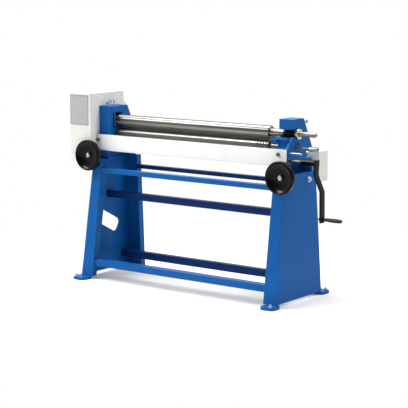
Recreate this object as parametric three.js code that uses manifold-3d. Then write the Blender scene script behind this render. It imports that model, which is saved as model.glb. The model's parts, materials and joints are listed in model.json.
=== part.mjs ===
// Slip roll machine: three rolls between two uprights on a folded sheet stand.
// Millimetres, +X to the right, +Y to the rear, +Z up.
import * as THREE from 'three';
import { mergeVertices } from 'three/addons/utils/BufferGeometryUtils.js';
import Module from 'manifold-3d';

const wasm = await Module();
wasm.setup();

// Driving dimensions

const clearance = 0.3;
const runningGap = 0.5;
const boreGap = 0.1;
const sheet = 4;
const plate = 8;

const rollDiameter = 70;
const rollOpening = 5;
const upperRollZ = 898;
const rearRollY = 82;
const rearRollZ = 850;
const journalDiameter = 40;
const rollBodyLeft = -563;
const rollBodyRight = 487;

const uprightOuterX = 650;
const uprightWidth = 81;
const uprightTopZ = 984;
const uprightFrontY = -80;
const uprightRearTopY = 72;
const uprightShoulderY = 161;
const uprightShoulderZ = 809;

const legTopZ = 684;
const legTopX = 652;
const legBottomX = 674;
const legTopFrontY = -134;
const legBottomFrontY = -225;
const legTopRearY = 185;
const legBottomRearY = 220;
const frontFlangeWidth = 56;
const rearFlangeWidth = 90;

const footThickness = 16;
const footCorner = 28;
const footX = 650;
const footY = 245;
const footWidth = 88;
const footLength = 92;

const panelFrontY = -102;
const panelRightX = 650;
const panelLeftX = -652;
const panelTopZ = 823;
const panelBottomZ = 746;

const wheelDiameter = 176;
const wheelX = 659;
const wheelFrontY = -187;
const leftWheelZ = 706;
const rightWheelZ = 684;

const coverLeftX = -816;
const coverRightX = -653.4;
const coverFrontY = -157;
const coverRearY = 140;
const coverBottomZ = 661;
const coverAboveUpright = 73;

const shaftY = -70;
const shaftZ = 762;
const shaftDiameter = 21;
const crankRadius = 290;
const gripEndX = 975;

const rollGearTeeth = 12;
const driveGearTeeth = 22;
const pinionTeeth = 9;

// Sizes that follow from the driving dimensions

const rollRadius = rollDiameter / 2;
const journalRadius = journalDiameter / 2;
const lowerRollZ = upperRollZ - rollDiameter - rollOpening;
const uprightInnerX = uprightOuterX - uprightWidth;
const frontFlangeInnerX = legTopX - frontFlangeWidth;
const rearFlangeInnerX = legTopX - rearFlangeWidth;
const footTopZ = footThickness;
const legBottomZ = footTopZ + clearance;
const uprightBottomZ = legTopZ + clearance;
const wheelRadius = wheelDiameter / 2;
const coverTopZ = uprightTopZ + coverAboveUpright;

// Colours and finishes

const finishes = {
  blue: { color: 0x1f5a9c, roughness: 0.45, metalness: 0.1 },
  navy: { color: 0x28376a, roughness: 0.5, metalness: 0.1 },
  white: { color: 0xf4f6f6, roughness: 0.4, metalness: 0.0 },
  paleGrey: { color: 0xdfe2e1, roughness: 0.45, metalness: 0.0 },
  label: { color: 0xb4b6b4, roughness: 0.5, metalness: 0.0 },
  black: { color: 0x191916, roughness: 0.4, metalness: 0.0 },
  steel: { color: 0xa9acab, roughness: 0.25, metalness: 1.0 },
  brightSteel: { color: 0xcfd1d0, roughness: 0.2, metalness: 1.0 },
  darkSteel: { color: 0x4c4e50, roughness: 0.4, metalness: 0.9 },
  zinc: { color: 0xc9b878, roughness: 0.35, metalness: 0.9 },
  bronze: { color: 0xb08348, roughness: 0.35, metalness: 0.9 },
};

// Solids: three.js geometry in, manifold for cuts and joins, geometry out

function toSolid(geometry) {
  const bare = geometry.index ? geometry.toNonIndexed() : geometry.clone();
  for (const name of Object.keys(bare.attributes)) {
    if (name !== 'position') bare.deleteAttribute(name);
  }
  const merged = mergeVertices(bare, 1e-4);
  const triangles = [];
  for (let i = 0; i < merged.index.count; i += 3) {
    const [a, b, c] = merged.index.array.slice(i, i + 3);
    if (a !== b && b !== c && c !== a) triangles.push(a, b, c);
  }
  const mesh = new wasm.Mesh({
    numProp: 3,
    vertProperties: new Float32Array(merged.attributes.position.array),
    triVerts: new Uint32Array(triangles),
  });
  return new wasm.Manifold(mesh);
}

function toGeometry(solid) {
  const mesh = solid.getMesh();
  const geometry = new THREE.BufferGeometry();
  geometry.setAttribute('position', new THREE.BufferAttribute(mesh.vertProperties, 3));
  geometry.setIndex(new THREE.BufferAttribute(mesh.triVerts, 1));
  const flat = geometry.toNonIndexed();
  flat.computeVertexNormals();
  return flat;
}

function join(first, ...others) {
  return others.reduce((sum, other) => sum.add(other), first);
}

function cut(first, ...others) {
  return others.reduce((rest, other) => rest.subtract(other), first);
}

function box(x0, x1, y0, y1, z0, z1) {
  const geometry = new THREE.BoxGeometry(Math.abs(x1 - x0), Math.abs(y1 - y0), Math.abs(z1 - z0));
  geometry.translate((x0 + x1) / 2, (y0 + y1) / 2, (z0 + z1) / 2);
  return toSolid(geometry);
}

const axisTurns = {
  x: new THREE.Matrix4().makeBasis(
    new THREE.Vector3(0, 1, 0), new THREE.Vector3(0, 0, 1), new THREE.Vector3(1, 0, 0)),
  y: new THREE.Matrix4().makeBasis(
    new THREE.Vector3(0, 0, 1), new THREE.Vector3(1, 0, 0), new THREE.Vector3(0, 1, 0)),
  z: new THREE.Matrix4(),
};

// An outline drawn in the plane square to an axis, extruded from one value to another.
// The outline's points are (y, z) for axis x, (z, x) for axis y and (x, y) for axis z.
function prism(axis, points, from, to, holes = []) {
  const toShape = (list) => list.map(([u, v]) => new THREE.Vector2(u, v));
  const shape = new THREE.Shape(toShape(points));
  for (const hole of holes) shape.holes.push(new THREE.Path(toShape(hole)));
  const low = Math.min(from, to);
  const geometry = new THREE.ExtrudeGeometry(shape, {
    depth: Math.abs(to - from), bevelEnabled: false, curveSegments: 8,
  });
  geometry.translate(0, 0, low);
  geometry.applyMatrix4(axisTurns[axis]);
  return toSolid(geometry);
}

// A turned piece: profile points are (distance along the axis, radius), ends on the axis.
function turned(axis, centre, profile, sides = 28) {
  const closed = [[profile[0][0], 0], ...profile, [profile[profile.length - 1][0], 0]];
  const points = closed.map(([along, radius]) => new THREE.Vector2(radius, along));
  const geometry = new THREE.LatheGeometry(points, sides);
  geometry.rotateX(Math.PI / 2);
  geometry.applyMatrix4(axisTurns[axis]);
  geometry.translate(...centre);
  return toSolid(geometry);
}

function rod(axis, centre, from, to, radius, sides = 28) {
  return turned(axis, centre, [[from, radius], [to, radius]], sides);
}

// A round hole whose flats clear a round shaft of the given radius.
function bore(axis, centre, from, to, shaftRadius, sides = 28) {
  return rod(axis, centre, from, to, (shaftRadius + boreGap) / Math.cos(Math.PI / sides), sides);
}

const machine = new THREE.Group();

function addPiece(name, solid, finish) {
  const mesh = new THREE.Mesh(toGeometry(solid), new THREE.MeshStandardMaterial(finishes[finish]));
  mesh.name = name;
  machine.add(mesh);
}

// Stand

const sides = [['left', -1], ['right', 1]];

function between(z, atTop, atBottom) {
  return atBottom + (atTop - atBottom) * (z - legBottomZ) / (legTopZ - legBottomZ);
}

function webOuterX(z) {
  return between(z, legTopX, legBottomX);
}

function legFrontY(z) {
  return between(z, legTopFrontY, legBottomFrontY);
}

function legRearY(z) {
  return between(z, legTopRearY, legBottomRearY);
}

// Turns a right-hand piece into its left-hand twin when side is -1.
function onSide(side, solid) {
  return side > 0 ? solid : solid.mirror([1, 0, 0]);
}

const beyond = 60;
const frontLipTop = 65;
const frontLipBottom = 35;
const rearLip = 38;
const legTopOpening = { y0: -80, y1: 138, rim: 16 };
const webSlot = { y: -15, z: 314, length: 226, width: 80, corner: 26, slope: -0.47 };

function roundedSlot(centreY, centreZ, length, width, corner, slope) {
  const points = [];
  const steps = 4;
  for (let quarter = 0; quarter < 4; quarter += 1) {
    const signU = quarter === 0 || quarter === 3 ? 1 : -1;
    const signV = quarter < 2 ? 1 : -1;
    for (let step = 0; step <= steps; step += 1) {
      const angle = (quarter + step / steps) * Math.PI / 2;
      const u = signU * (length / 2 - corner) + corner * Math.cos(angle);
      const v = signV * (width / 2 - corner) + corner * Math.sin(angle);
      points.push([
        centreY + u * Math.cos(slope) - v * Math.sin(slope),
        centreZ + u * Math.sin(slope) + v * Math.cos(slope),
      ]);
    }
  }
  return points;
}

function legFrame(side) {
  const sideOutline = (inset) => [
    [legBottomFrontY + inset, legBottomZ], [legBottomRearY - inset, legBottomZ],
    [legTopRearY - inset, legTopZ], [legTopFrontY + inset, legTopZ],
  ];
  const webSection = (inset, innerX, topZ) => [
    [legBottomZ - beyond * (inset > 0), innerX],
    [legBottomZ - beyond * (inset > 0), webOuterX(legBottomZ - beyond * (inset > 0)) - inset],
    [topZ, webOuterX(topZ) - inset],
    [topZ, innerX],
  ];
  const widest = legBottomX + beyond;
  const shell = prism('x', sideOutline(0), rearFlangeInnerX, widest)
    .intersect(prism('y', webSection(0, rearFlangeInnerX, legTopZ), -500, 500));
  const inside = prism('x', [
    [legFrontY(-beyond) + sheet, -beyond], [legRearY(-beyond) - sheet, -beyond],
    [legRearY(legTopZ) - sheet, legTopZ], [legFrontY(legTopZ) + sheet, legTopZ],
  ], rearFlangeInnerX - beyond, widest)
    .intersect(prism('y', webSection(sheet, rearFlangeInnerX - beyond, legTopZ - sheet), -500, 500));
  const frontTrim = box(rearFlangeInnerX - beyond, frontFlangeInnerX, -400, legFrontY(legTopZ) + 60,
    -beyond, legTopZ - sheet);
  const frontReturn = prism('x', [
    [legFrontY(legBottomZ), legBottomZ], [legFrontY(legBottomZ) + frontLipBottom, legBottomZ],
    [legFrontY(legTopZ) + frontLipTop, legTopZ], [legFrontY(legTopZ), legTopZ],
  ], frontFlangeInnerX - sheet, frontFlangeInnerX);
  const rearReturn = prism('x', [
    [legRearY(legBottomZ) - rearLip, legBottomZ], [legRearY(legBottomZ), legBottomZ],
    [legRearY(legTopZ), legTopZ], [legRearY(legTopZ) - rearLip, legTopZ],
  ], rearFlangeInnerX, rearFlangeInnerX + sheet);
  let leg = cut(shell, inside, frontTrim);
  leg = join(leg, frontReturn, rearReturn);
  if (side < 0) {
    const slot = roundedSlot(webSlot.y, webSlot.z, webSlot.length, webSlot.width,
      webSlot.corner, webSlot.slope);
    leg = cut(leg, prism('x', slot, rearFlangeInnerX + 2 * sheet, widest));
    leg = cut(leg, box(rearFlangeInnerX - 1, legTopX - legTopOpening.rim, legTopOpening.y0,
      legTopOpening.y1, legTopZ - sheet - 1, legTopZ + 1));
  }
  return onSide(side, leg);
}

function footPlate(side, end) {
  const centreX = side * footX;
  const centreY = end * footY;
  const shape = roundedSlot(centreX, centreY, footWidth, footLength, footCorner, 0);
  return prism('z', shape, 0, footThickness);
}

const footBoltX = footX + 21;
const footBoltY = footY + 27;
const footBoltHead = 10;

function footBolt(side, end) {
  const centre = [side * footBoltX, end * footBoltY, 0];
  return join(
    rod('z', centre, footTopZ + clearance, footTopZ + 3, 11, 16),
    rod('z', centre, footTopZ + 2, footTopZ + footBoltHead, 9, 6),
    rod('z', centre, footTopZ + footBoltHead - 1, footTopZ + footBoltHead + 8, 4, 12),
  );
}

// Cross bars: pressed channels, open below, butted to a leg's lip or to its web
const topRearBar = { y0: 148, y1: 181, z0: 605, z1: 627 };
const topFrontBar = { y0: -138, y1: -100, z0: 607, z1: 634 };
const middleBar = { y0: -16, y1: 20, z0: 447, z1: 486 };
const bottomRearBar = { y0: 120, y1: 156, z0: 73, z1: 115 };
const bottomFrontBar = { y0: -205, y1: -157, z0: 75, z1: 113 };
const bars = [
  ['top_rear_bar', topRearBar, 'rearLip'],
  ['top_front_bar', topFrontBar, 'frontLip'],
  ['middle_bar', middleBar, 'web'],
  ['bottom_rear_bar', bottomRearBar, 'web'],
  ['bottom_front_bar', bottomFrontBar, 'frontLip'],
];
const barWall = 3;

function crossBar(bar, ends) {
  const reach = {
    rearLip: rearFlangeInnerX - clearance,
    frontLip: frontFlangeInnerX - sheet - clearance,
    web: webOuterX(bar.z1) - sheet - clearance,
  }[ends];
  const { y0, y1, z0, z1 } = bar;
  return prism('x', [
    [y0, z0], [y0 + barWall, z0], [y0 + barWall, z1 - barWall], [y1 - barWall, z1 - barWall],
    [y1 - barWall, z0], [y1, z0], [y1, z1], [y0, z1],
  ], -reach, reach);
}

for (const [name, side] of sides) {
  addPiece(`${name}_leg_frame`, legFrame(side), 'blue');
  addPiece(`${name}_front_foot`, footPlate(side, -1), 'navy');
  addPiece(`${name}_rear_foot`, footPlate(side, 1), 'navy');
  addPiece(`${name}_front_foot_bolt`, footBolt(side, -1), 'steel');
  addPiece(`${name}_rear_foot_bolt`, footBolt(side, 1), 'steel');
}
for (const [name, bar, ends] of bars) addPiece(name, crossBar(bar, ends), 'navy');

// Uprights: folded and welded boxes, with guides inside for the bearing blocks

const uprightWall = 6;
const uprightLowFrontY = -92.7;
const uprightLowRearY = 150;
const noseTopZ = 817;
const notch = { y: 92, z0: 760, z1: 800 };
const guideHalf = 32.5;
const guideWall = 6;
const blockHalf = 32;
const shelfZ = 858;
const shelfThickness = 9;
const releaseSlot = { z0: 865, z1: 924, rearY: 24 };
const rearRollRun = 8;
const rearBlockHalf = 24;
const rearJournalRadius = 15;
const rearSlide = new THREE.Vector3(0, -1, 1).normalize();

// Moves the edges of an outline inwards by a wall thickness.
function inset(points, wall) {
  const count = points.length;
  const edges = points.map((point, i) => {
    const next = points[(i + 1) % count];
    const along = new THREE.Vector2(next[0] - point[0], next[1] - point[1]).normalize();
    const origin = new THREE.Vector2(point[0] - along.y * wall, point[1] + along.x * wall);
    return { origin, along };
  });
  return points.map((point, i) => {
    const before = edges[(i + count - 1) % count];
    const after = edges[i];
    const crossing = before.along.cross(after.along);
    const apart = after.origin.clone().sub(before.origin);
    const reach = apart.cross(after.along) / crossing;
    return [before.origin.x + before.along.x * reach, before.origin.y + before.along.y * reach];
  });
}

const rearEdge = [
  [uprightLowRearY, uprightBottomZ], [uprightLowRearY, notch.z0], [notch.y, notch.z0],
  [notch.y, notch.z1], [uprightShoulderY, uprightShoulderZ], [uprightRearTopY, uprightTopZ],
];
const lowFront = [[uprightLowFrontY, noseTopZ], [uprightLowFrontY, uprightBottomZ]];
const leftOutline = [
  ...rearEdge, [uprightFrontY, uprightTopZ], [uprightFrontY, noseTopZ], ...lowFront,
];
const noseRearY = -62;
const noseStepZ = 838;
const rightTopZ = uprightTopZ - 7;
const rightFrontY = uprightFrontY + 31;
const rightRearEdge = [
  [uprightLowRearY, uprightBottomZ], [uprightLowRearY, notch.z0], [notch.y, notch.z0],
  [notch.y, notch.z1], [uprightShoulderY - 8, uprightShoulderZ], [uprightRearTopY - 9, rightTopZ],
];
const rightOutline = [
  ...rightRearEdge, [rightFrontY, rightTopZ], [rightFrontY, releaseSlot.z1],
  [releaseSlot.rearY, releaseSlot.z1], [releaseSlot.rearY, releaseSlot.z0],
  [noseRearY, releaseSlot.z0], [noseRearY, noseStepZ], ...lowFront,
];
const strapTopY = -17;
const strap = { width: 15, thickness: 5 };
const outerPlateOutline = [
  ...rightRearEdge, [rightFrontY, rightTopZ], [rightFrontY, releaseSlot.z1],
  [strapTopY, releaseSlot.z1], ...lowFront,
];

// A block that slides on the rear roll's inclined line, drawn about the roll's axis.
function onRearLine(alongFrom, alongTo, acrossFrom, acrossTo, x0, x1) {
  const across = new THREE.Vector3(0, 1, 1).normalize();
  const corner = (along, side) => [
    rearRollY + rearSlide.y * along + across.y * side,
    rearRollZ + rearSlide.z * along + across.z * side,
  ];
  return prism('x', [
    corner(alongFrom, acrossFrom), corner(alongFrom, acrossTo),
    corner(alongTo, acrossTo), corner(alongTo, acrossFrom),
  ], x0, x1);
}

function rearLineRod(x, from, to, radius, count) {
  const geometry = new THREE.CylinderGeometry(radius, radius, to - from, count);
  const up = new THREE.Vector3(0, 1, 0);
  geometry.applyQuaternion(new THREE.Quaternion().setFromUnitVectors(up, rearSlide));
  const middle = rearSlide.clone().multiplyScalar((from + to) / 2);
  geometry.translate(x, rearRollY + middle.y, rearRollZ + middle.z);
  return toSolid(geometry);
}

const rollWindow = { y0: -56, y1: 20, above: 48 };
const sideOpeningTopZ = 744;
const shaftHole = shaftDiameter / 2 + 4;
const rearScrewRadius = 7;
const rearScrewReach = 112;
const blockX0 = uprightInnerX + uprightWall + runningGap;
const blockX1 = uprightOuterX - plate - runningGap;
const blockMiddleX = (blockX0 + blockX1) / 2;
const lowerLift = 4;
const lowerBlockBelow = 30;
const lowerBlockAbove = 27;
const panelBolts = { left: [-640, 793], right: [600, 796] };
const panelBoltRadius = 5.8;
const tailRadius = 13;
const tailSlotGap = 1.5;
const topBolt = { x: 634, y: 80, z: 955, radius: 6, endY: 124 };
const lockPinY = -72;
const lockPinZ = 802;
const lockPinRadius = 5.5;

function upright(side) {
  const outline = side < 0 ? leftOutline : rightOutline;
  const inner = inset(outline, uprightWall);
  const openBelow = inner.map(([y, z]) => [y, z < uprightBottomZ + 2 * uprightWall ? z - 2 * uprightWall : z]);
  const cavityX0 = uprightInnerX + uprightWall;
  const cavityX1 = uprightOuterX - plate;
  let body = prism('x', outline, uprightInnerX, side < 0 ? uprightOuterX : cavityX1);
  body = cut(body, prism('x', openBelow, cavityX0, cavityX1 + (side < 0 ? 0 : 1)));
  if (side > 0) {
    body = join(body, prism('x', outerPlateOutline, cavityX1, uprightOuterX));
    const down = new THREE.Vector2(uprightLowFrontY - strapTopY, noseTopZ - releaseSlot.z1).normalize();
    const behind = [-down.y * strap.thickness, down.x * strap.thickness];
    body = join(body, prism('x', [
      [strapTopY, releaseSlot.z1], [uprightLowFrontY, noseTopZ],
      [uprightLowFrontY + behind[0], noseTopZ + behind[1]],
      [strapTopY + behind[0], releaseSlot.z1 + behind[1]],
    ], uprightOuterX - strap.width, uprightOuterX));
  }
  const openX = side < 0 ? [uprightInnerX - beyond, cavityX0] : [cavityX1, uprightOuterX + beyond];
  body = cut(body, box(...openX, uprightLowFrontY + uprightWall, uprightLowRearY - uprightWall,
    uprightBottomZ - 1, sideOpeningTopZ));
  const guideTopZ = side < 0 ? uprightTopZ - 34 : shelfZ + 4;
  const guideEnds = [cavityX0 - 1, cavityX1 + 1];
  for (const face of [-1, 1]) {
    body = join(body, box(...guideEnds, face * guideHalf, face * (guideHalf + guideWall),
      lowerRollZ - lowerBlockBelow - 20, guideTopZ));
    const across = face * (rearBlockHalf + runningGap);
    body = join(body, onRearLine(-26, 26, Math.min(across, across + face * guideWall),
      Math.max(across, across + face * guideWall), ...guideEnds));
  }
  body = join(body, box(...guideEnds, -guideHalf - 1, guideHalf + 1, lowerRollZ - lowerBlockBelow - 20,
    lowerRollZ - lowerBlockBelow - 12));
  if (side < 0) {
    body = join(body, box(...guideEnds, -guideHalf - 1, guideHalf + 1, shelfZ, shelfZ + shelfThickness));
  }
  const through = [uprightInnerX - 10, uprightOuterX + 10];
  const hole = (y, z, radius) => rod('x', [0, y, z], ...through, radius, 24);
  body = cut(body, hole(shaftY, shaftZ, shaftHole));
  body = cut(body, join(hole(0, lowerRollZ, journalRadius + 3), hole(0, lowerRollZ + lowerLift, journalRadius + 3)));
  if (side < 0) {
    body = cut(body, hole(0, upperRollZ, journalRadius + 6));
    body = cut(body, box(uprightInnerX - 10, cavityX0 + 0.5, rollWindow.y0, rollWindow.y1,
      shelfZ, upperRollZ + rollWindow.above));
  } else {
    body = cut(body, rod('x', [0, lockPinY, lockPinZ], cavityX1 - 1, uprightOuterX + 1, lockPinRadius + 0.5, 20));
    const tailSlot = tailRadius + tailSlotGap;
    body = cut(body, join(
      rod('x', [0, 0, upperRollZ], cavityX1 - 1, uprightOuterX + 1, tailSlot, 24),
      box(cavityX1 - 1, uprightOuterX + 1, uprightLowFrontY, 0, upperRollZ - tailSlot, upperRollZ + tailSlot),
      box(uprightOuterX - strap.width - 1, cavityX1, uprightLowFrontY, 0,
        upperRollZ - journalRadius - tailSlotGap, upperRollZ + journalRadius + tailSlotGap),
    ));
    body = cut(body, rod('y', [topBolt.x, 0, topBolt.z], topBolt.y - 30, topBolt.y + 30,
      topBolt.radius + clearance, 16));
  }
  body = cut(body, onRearLine(-rearJournalRadius - 2, rearJournalRadius + rearRollRun + 2,
    -rearJournalRadius - 2, rearJournalRadius + 2, uprightInnerX - 10, cavityX0 + 1));
  body = cut(body, rearLineRod(blockMiddleX, -rearScrewReach, -rearBlockHalf, rearScrewRadius + runningGap, 20));
  const liftScrew = rod('z', [blockMiddleX, 0, 0], lowerRollZ - 70, lowerRollZ - lowerBlockBelow - 5, 8 + runningGap, 24);
  body = cut(body, liftScrew);
  const [boltX, boltZ] = side < 0 ? panelBolts.left : panelBolts.right;
  body = cut(body, rod('y', [Math.abs(boltX), 0, boltZ], uprightLowFrontY - 5,
    uprightLowFrontY + uprightWall + 8, panelBoltRadius + clearance, 16));
  return onSide(side, body);
}

// Bearing blocks

function lowerBearing(side) {
  const block = box(blockX0, blockX1, -blockHalf, blockHalf,
    lowerRollZ - lowerBlockBelow, lowerRollZ + lowerBlockAbove);
  const screw = rod('z', [blockMiddleX, 0, 0], lowerRollZ - 70, lowerRollZ - lowerBlockBelow + 1, 8, 24);
  const hole = bore('x', [0, 0, lowerRollZ], blockX0 - 1, blockX1 + 1, journalRadius, 32);
  return onSide(side, cut(join(block, screw), hole));
}

function rearBearing(side) {
  const block = onRearLine(-rearBlockHalf, rearBlockHalf, -rearBlockHalf, rearBlockHalf, blockX0, blockX1);
  const hole = bore('x', [0, rearRollY, rearRollZ], blockX0 - 1, blockX1 + 1, rearJournalRadius);
  return onSide(side, cut(block, hole));
}

function rearScrew(side) {
  const screw = join(
    rearLineRod(blockMiddleX, -rearScrewReach, -rearBlockHalf - clearance, rearScrewRadius, 20),
    rearLineRod(blockMiddleX, -rearScrewReach + 1, -rearScrewReach + 15, 12, 6),
  );
  return onSide(side, screw);
}

const trunnionRadius = 32;
const trunnionHalf = 29;

function swivelBearing() {
  const seatZ = shelfZ + shelfThickness + clearance;
  const body = join(
    rod('z', [-blockMiddleX, 0, 0], seatZ, upperRollZ + trunnionHalf, trunnionRadius, 40),
    rod('z', [-blockMiddleX, 0, 0], upperRollZ + trunnionHalf - 1, uprightTopZ - uprightWall - 12, 12, 24),
  );
  return cut(body, bore('x', [0, 0, upperRollZ], -uprightOuterX, -uprightInnerX, journalRadius, 36));
}

function rollSaddle() {
  const x0 = 545;
  const x1 = uprightOuterX - strap.width - clearance;
  const y0 = uprightFrontY + 1;
  const y1 = releaseSlot.rearY - clearance;
  const topZ = upperRollZ - journalRadius - clearance;
  const slab = box(x0, x1, noseRearY + 1, y1, releaseSlot.z0 + clearance, topZ);
  const front = box(x0, x1, y0, noseRearY + 2, releaseSlot.z0 + 3, topZ);
  const skirt = box(x0, uprightInnerX - clearance, y0, y1, lowerRollZ + journalRadius + lowerLift + 4,
    releaseSlot.z0 + 4);
  return join(slab, front, skirt);
}

for (const [name, side] of sides) {
  addPiece(`${name}_upright`, upright(side), 'blue');
  addPiece(`${name}_lower_bearing`, lowerBearing(side), 'darkSteel');
  addPiece(`${name}_rear_bearing`, rearBearing(side), 'darkSteel');
  addPiece(`${name}_rear_adjusting_screw`, rearScrew(side), 'steel');
}
addPiece('upper_swivel_bearing', swivelBearing(), 'darkSteel');
addPiece('upper_roll_saddle', rollSaddle(), 'blue');

// Rolls

const upperBodyEnd = rollBodyRight;
const journalEndX = uprightOuterX - plate - 1.5;
const chamfer = 4;
const gearX = { x0: -668, x1: -658 };
const driveGearX = { x0: -700, x1: -688 };
const collar = { x0: 655.2, x1: 667, radius: 28.5 };
const upperTailEndX = 773;
const lowerTailEndX = 728;
const lowerTailRadius = 8.5;
const tailSleeve = { x0: 728, x1: 780, radius: 13 };
const wireGrooves = { firstX: 420, pitch: 18, count: 4, width: 8, depth: 5 };

function upperRoll() {
  return turned('x', [0, 0, upperRollZ], [
    [gearX.x0, 15], [gearX.x1 + clearance, 15], [gearX.x1 + clearance, journalRadius],
    [rollBodyLeft, journalRadius], [rollBodyLeft, rollRadius - chamfer], [rollBodyLeft + chamfer, rollRadius],
    [upperBodyEnd - chamfer, rollRadius], [upperBodyEnd, rollRadius - chamfer],
    [upperBodyEnd, journalRadius], [journalEndX, journalRadius], [journalEndX, tailRadius],
    [upperTailEndX - 8, tailRadius], [upperTailEndX - 2, tailRadius - 4],
    [upperTailEndX, tailRadius - 9],
  ], 32);
}

function lowerRoll() {
  const profile = [
    [driveGearX.x0, 15], [gearX.x1 + clearance, 15], [gearX.x1 + clearance, journalRadius],
    [rollBodyLeft, journalRadius], [rollBodyLeft, rollRadius - chamfer], [rollBodyLeft + chamfer, rollRadius],
  ];
  for (let i = 0; i < wireGrooves.count; i += 1) {
    const x = wireGrooves.firstX + i * wireGrooves.pitch;
    const half = wireGrooves.width / 2;
    profile.push([x - half, rollRadius], [x - half / 2, rollRadius - wireGrooves.depth],
      [x + half / 2, rollRadius - wireGrooves.depth], [x + half, rollRadius]);
  }
  profile.push([rollBodyRight - 1, rollRadius], [rollBodyRight, rollRadius - 1],
    [rollBodyRight, journalRadius], [uprightOuterX - 1, journalRadius],
    [uprightOuterX - 1, lowerTailRadius], [lowerTailEndX + 40, lowerTailRadius]);
  return turned('x', [0, 0, lowerRollZ], profile, 32);
}

function rearRoll() {
  return turned('x', [0, rearRollY, rearRollZ], [
    [-blockX1 + 1, rearJournalRadius], [rollBodyLeft, rearJournalRadius], [rollBodyLeft, rollRadius - 1],
    [rollBodyLeft + 1, rollRadius], [-rollBodyLeft - 1, rollRadius], [-rollBodyLeft, rollRadius - 1],
    [-rollBodyLeft, rearJournalRadius], [blockX1 - 1, rearJournalRadius],
  ], 32);
}

function ring(x0, x1, y, z, outer, shaftRadius, count = 28) {
  return cut(rod('x', [0, y, z], x0, x1, outer, count), bore('x', [0, y, z], x0 - 1, x1 + 1, shaftRadius, count));
}

// Coarse gears with long thin teeth, which stay in mesh while a roll is raised.
const toothReach = 4.1;
const toothRootGap = 2.5;
const toothRootHalf = 2.7;
const toothTipHalf = 0.9;

function gear(teeth, pitchRadius, phase, x0, x1, y, z, boreRadius) {
  const tip = pitchRadius + toothReach;
  const root = pitchRadius - toothReach - toothRootGap;
  const points = [];
  for (let i = 0; i < teeth; i += 1) {
    const centre = phase + i * 2 * Math.PI / teeth;
    for (const [radius, half] of [
      [root, -toothRootHalf], [tip, -toothTipHalf], [tip, toothTipHalf], [root, toothRootHalf],
    ]) {
      const angle = centre + half / radius;
      points.push([y + radius * Math.cos(angle), z + radius * Math.sin(angle)]);
    }
  }
  return cut(prism('x', points, x0, x1), rod('x', [0, y, z], x0 - 1, x1 + 1, boreRadius, 24));
}

addPiece('upper_roll', upperRoll(), 'brightSteel');
addPiece('lower_roll', lowerRoll(), 'brightSteel');
addPiece('rear_roll', rearRoll(), 'brightSteel');
addPiece('upper_roll_collar', ring(collar.x0, collar.x1, 0, upperRollZ, collar.radius,
  tailRadius + clearance), 'zinc');
addPiece('lower_roll_sleeve', ring(tailSleeve.x0, tailSleeve.x1, 0, lowerRollZ, tailSleeve.radius,
  lowerTailRadius + clearance), 'steel');

const rollSpacing = upperRollZ - lowerRollZ;
const rollMeshRadius = rollSpacing / 2 - 1;
const shaftAcross = Math.hypot(shaftY, lowerRollZ - shaftZ);
const driveShare = driveGearTeeth / (driveGearTeeth + pinionTeeth);
const driveMeshRadius = shaftAcross * driveShare;
const pinionMeshRadius = shaftAcross - driveMeshRadius;
const toShaft = Math.atan2(shaftZ - lowerRollZ, shaftY);
addPiece('upper_roll_gear', gear(rollGearTeeth, rollMeshRadius, -Math.PI / 2, gearX.x0, gearX.x1,
  0, upperRollZ, 15 + clearance), 'darkSteel');
addPiece('lower_roll_gear', gear(rollGearTeeth, rollMeshRadius, Math.PI / 2 + Math.PI / rollGearTeeth,
  gearX.x0, gearX.x1, 0, lowerRollZ, 15 + clearance), 'darkSteel');
addPiece('drive_gear', gear(driveGearTeeth, driveMeshRadius, toShaft + Math.PI / driveGearTeeth,
  driveGearX.x0, driveGearX.x1, 0, lowerRollZ, 15 + clearance), 'darkSteel');

// Crank drive

const pinionSeatRadius = 9;
const hub = { x0: 727, x1: 825, radius: 17 };
const arm = { half: 17.5, thickness: 12, topX: 818, nearX: 814, farX: 852 };
const armEndZ = shaftZ - crankRadius;
const spindleRadius = 4;
const gripX = { x0: 863.5, x1: gripEndX };

function driveShaft() {
  const radius = shaftDiameter / 2;
  return turned('x', [0, shaftY, shaftZ], [
    [driveGearX.x0 - 2, pinionSeatRadius], [driveGearX.x1 + 4, pinionSeatRadius],
    [driveGearX.x1 + 4, radius], [hub.x1 - 6, radius],
  ], 32);
}

function crankArm() {
  const half = arm.thickness / 2;
  const centreLine = [
    [shaftZ + 18, arm.topX], [shaftZ - crankRadius * 0.21, arm.nearX],
    [shaftZ - crankRadius / 2, arm.farX], [armEndZ - 18, arm.farX + 2],
  ];
  const outline = [
    ...centreLine.map(([z, x]) => [z, x - half]),
    ...centreLine.slice().reverse().map(([z, x]) => [z, x + half]),
  ];
  const bar = prism('y', outline, shaftY - arm.half, shaftY + arm.half);
  const hubBoss = rod('x', [0, shaftY, shaftZ], hub.x0, hub.x1, hub.radius, 32);
  const endBoss = rod('x', [0, shaftY, armEndZ], arm.farX - 12, gripX.x0 - clearance, 11, 24);
  const spindle = rod('x', [0, shaftY, armEndZ], gripX.x0 - 5, gripEndX - 8, spindleRadius, 16);
  const hole = bore('x', [0, shaftY, shaftZ], hub.x0 - 1, hub.x1 - 6 + clearance, shaftDiameter / 2);
  return cut(join(bar, hubBoss, endBoss, spindle), hole);
}

function crankGrip() {
  const body = turned('x', [0, shaftY, armEndZ], [
    [gripX.x0, 7], [gripX.x0 + 6, 7.5], [gripX.x0 + 30, 10], [gripX.x0 + 62, 11],
    [gripX.x1 - 18, 10.5], [gripX.x1 - 5, 8.5], [gripX.x1, 5],
  ], 24);
  const hole = bore('x', [0, shaftY, armEndZ], gripX.x0 - 1, gripEndX - 7, spindleRadius, 16);
  return cut(body, hole);
}

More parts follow.
